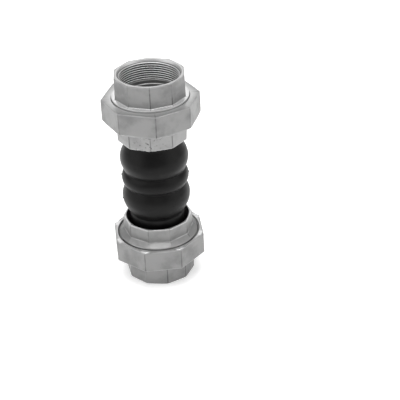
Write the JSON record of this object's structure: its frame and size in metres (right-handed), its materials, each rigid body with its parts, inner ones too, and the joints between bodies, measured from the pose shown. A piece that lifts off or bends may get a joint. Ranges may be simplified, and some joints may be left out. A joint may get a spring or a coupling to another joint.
{
  "type": "rubber expansion joint",
  "caption": "Twin-sphere rubber expansion joint with a threaded union end at each end, an eight-sided nut between two ten-sided castings, and a black moulded rubber body between them.",
  "frame": {"origin": "centre of the lower end face, which it stands on", "axes": "+Z along the flow axis to the upper end; the two arches bend about X"},
  "size_m": [0.095, 0.095, 0.22],
  "materials": {
    "zinc_coated_iron": "satin zinc-coated malleable iron casting, machined bright at the seats and rims",
    "cover_rubber": "satin black moulded rubber with faint mould flow marks",
    "liner_rubber": "smooth black rubber",
    "nylon_cord": "rubber-dipped nylon tyre cord laid at a slant",
    "hoop_steel": "drawn steel wire"
  },
  "bodies": {
    "lower_end": {"lower_tailpiece": "zinc_coated_iron", "lower_bead_ring": "hoop_steel", "lower_bead_filler": "liner_rubber", "lower_cuff": "cover_rubber"},
    "lower_nut": {"lower_union_nut": "zinc_coated_iron"},
    "lower_collar": {"lower_clamp_collar": "zinc_coated_iron"},
    "lower_arch": {"lower_arch_cover": "cover_rubber"},
    "waist": {"waist_strap": "cover_rubber", "root_ring": "hoop_steel", "inner_liner": "liner_rubber", "cord_ply_1": "nylon_cord", "cord_ply_2": "nylon_cord", "cord_ply_3": "nylon_cord"},
    "upper_arch": {"upper_arch_cover": "cover_rubber"},
    "upper_end": {"upper_tailpiece": "zinc_coated_iron", "upper_bead_ring": "hoop_steel", "upper_bead_filler": "liner_rubber", "upper_cuff": "cover_rubber"},
    "upper_nut": {"upper_union_nut": "zinc_coated_iron"},
    "upper_collar": {"upper_clamp_collar": "zinc_coated_iron"}
  },
  "joints": [
    {"name": "lower_nut_turn", "type": "hinge", "parent": "lower_end", "child": "lower_nut", "pos_m": [0, 0, 0.035], "axis": [0, 0, -1], "range_deg": [0, 1260]},
    {"name": "lower_collar_draw", "type": "slide", "parent": "lower_end", "child": "lower_collar", "axis": [0, 0, 1], "range_m": [0, 0.00875]},
    {"name": "lower_arch_stretch", "type": "slide", "parent": "lower_end", "child": "lower_arch", "axis": [0, 0, 1], "range_m": [-0.011, 0.003], "stiffness_N_per_m": 120000, "deforming": ["lower_arch_cover", "lower_cuff"]},
    {"name": "lower_arch_bend", "type": "hinge", "parent": "lower_arch", "child": "waist", "pos_m": [0, 0, 0.088], "axis": [1, 0, 0], "range_deg": [-15, 15], "stiffness_Nm_per_rad": 60, "deforming": ["inner_liner", "cord_ply_1", "cord_ply_2", "cord_ply_3"]},
    {"name": "upper_arch_bend", "type": "hinge", "parent": "waist", "child": "upper_arch", "pos_m": [0, 0, 0.132], "axis": [-1, 0, 0], "range_deg": [-15, 15], "stiffness_Nm_per_rad": 60},
    {"name": "upper_arch_stretch", "type": "slide", "parent": "upper_arch", "child": "upper_end", "axis": [0, 0, 1], "range_m": [-0.011, 0.003], "stiffness_N_per_m": 120000, "deforming": ["upper_arch_cover", "upper_cuff"]},
    {"name": "upper_nut_turn", "type": "hinge", "parent": "upper_end", "child": "upper_nut", "pos_m": [0, 0, 0.185], "axis": [0, 0, 1], "range_deg": [-270, 990]},
    {"name": "upper_collar_draw", "type": "slide", "parent": "upper_end", "child": "upper_collar", "axis": [0, 0, -1], "range_m": [-0.00187, 0.00688]}
  ],
  "couplings": [
    {"joint": "lower_collar_draw", "follows": "lower_nut_turn", "m_per_rad": 0.00039789},
    {"joint": "upper_collar_draw", "follows": "upper_nut_turn", "m_per_rad": 0.00039789},
    {"joint": "upper_arch_stretch", "follows": "lower_arch_stretch", "ratio": 1}
  ]
}
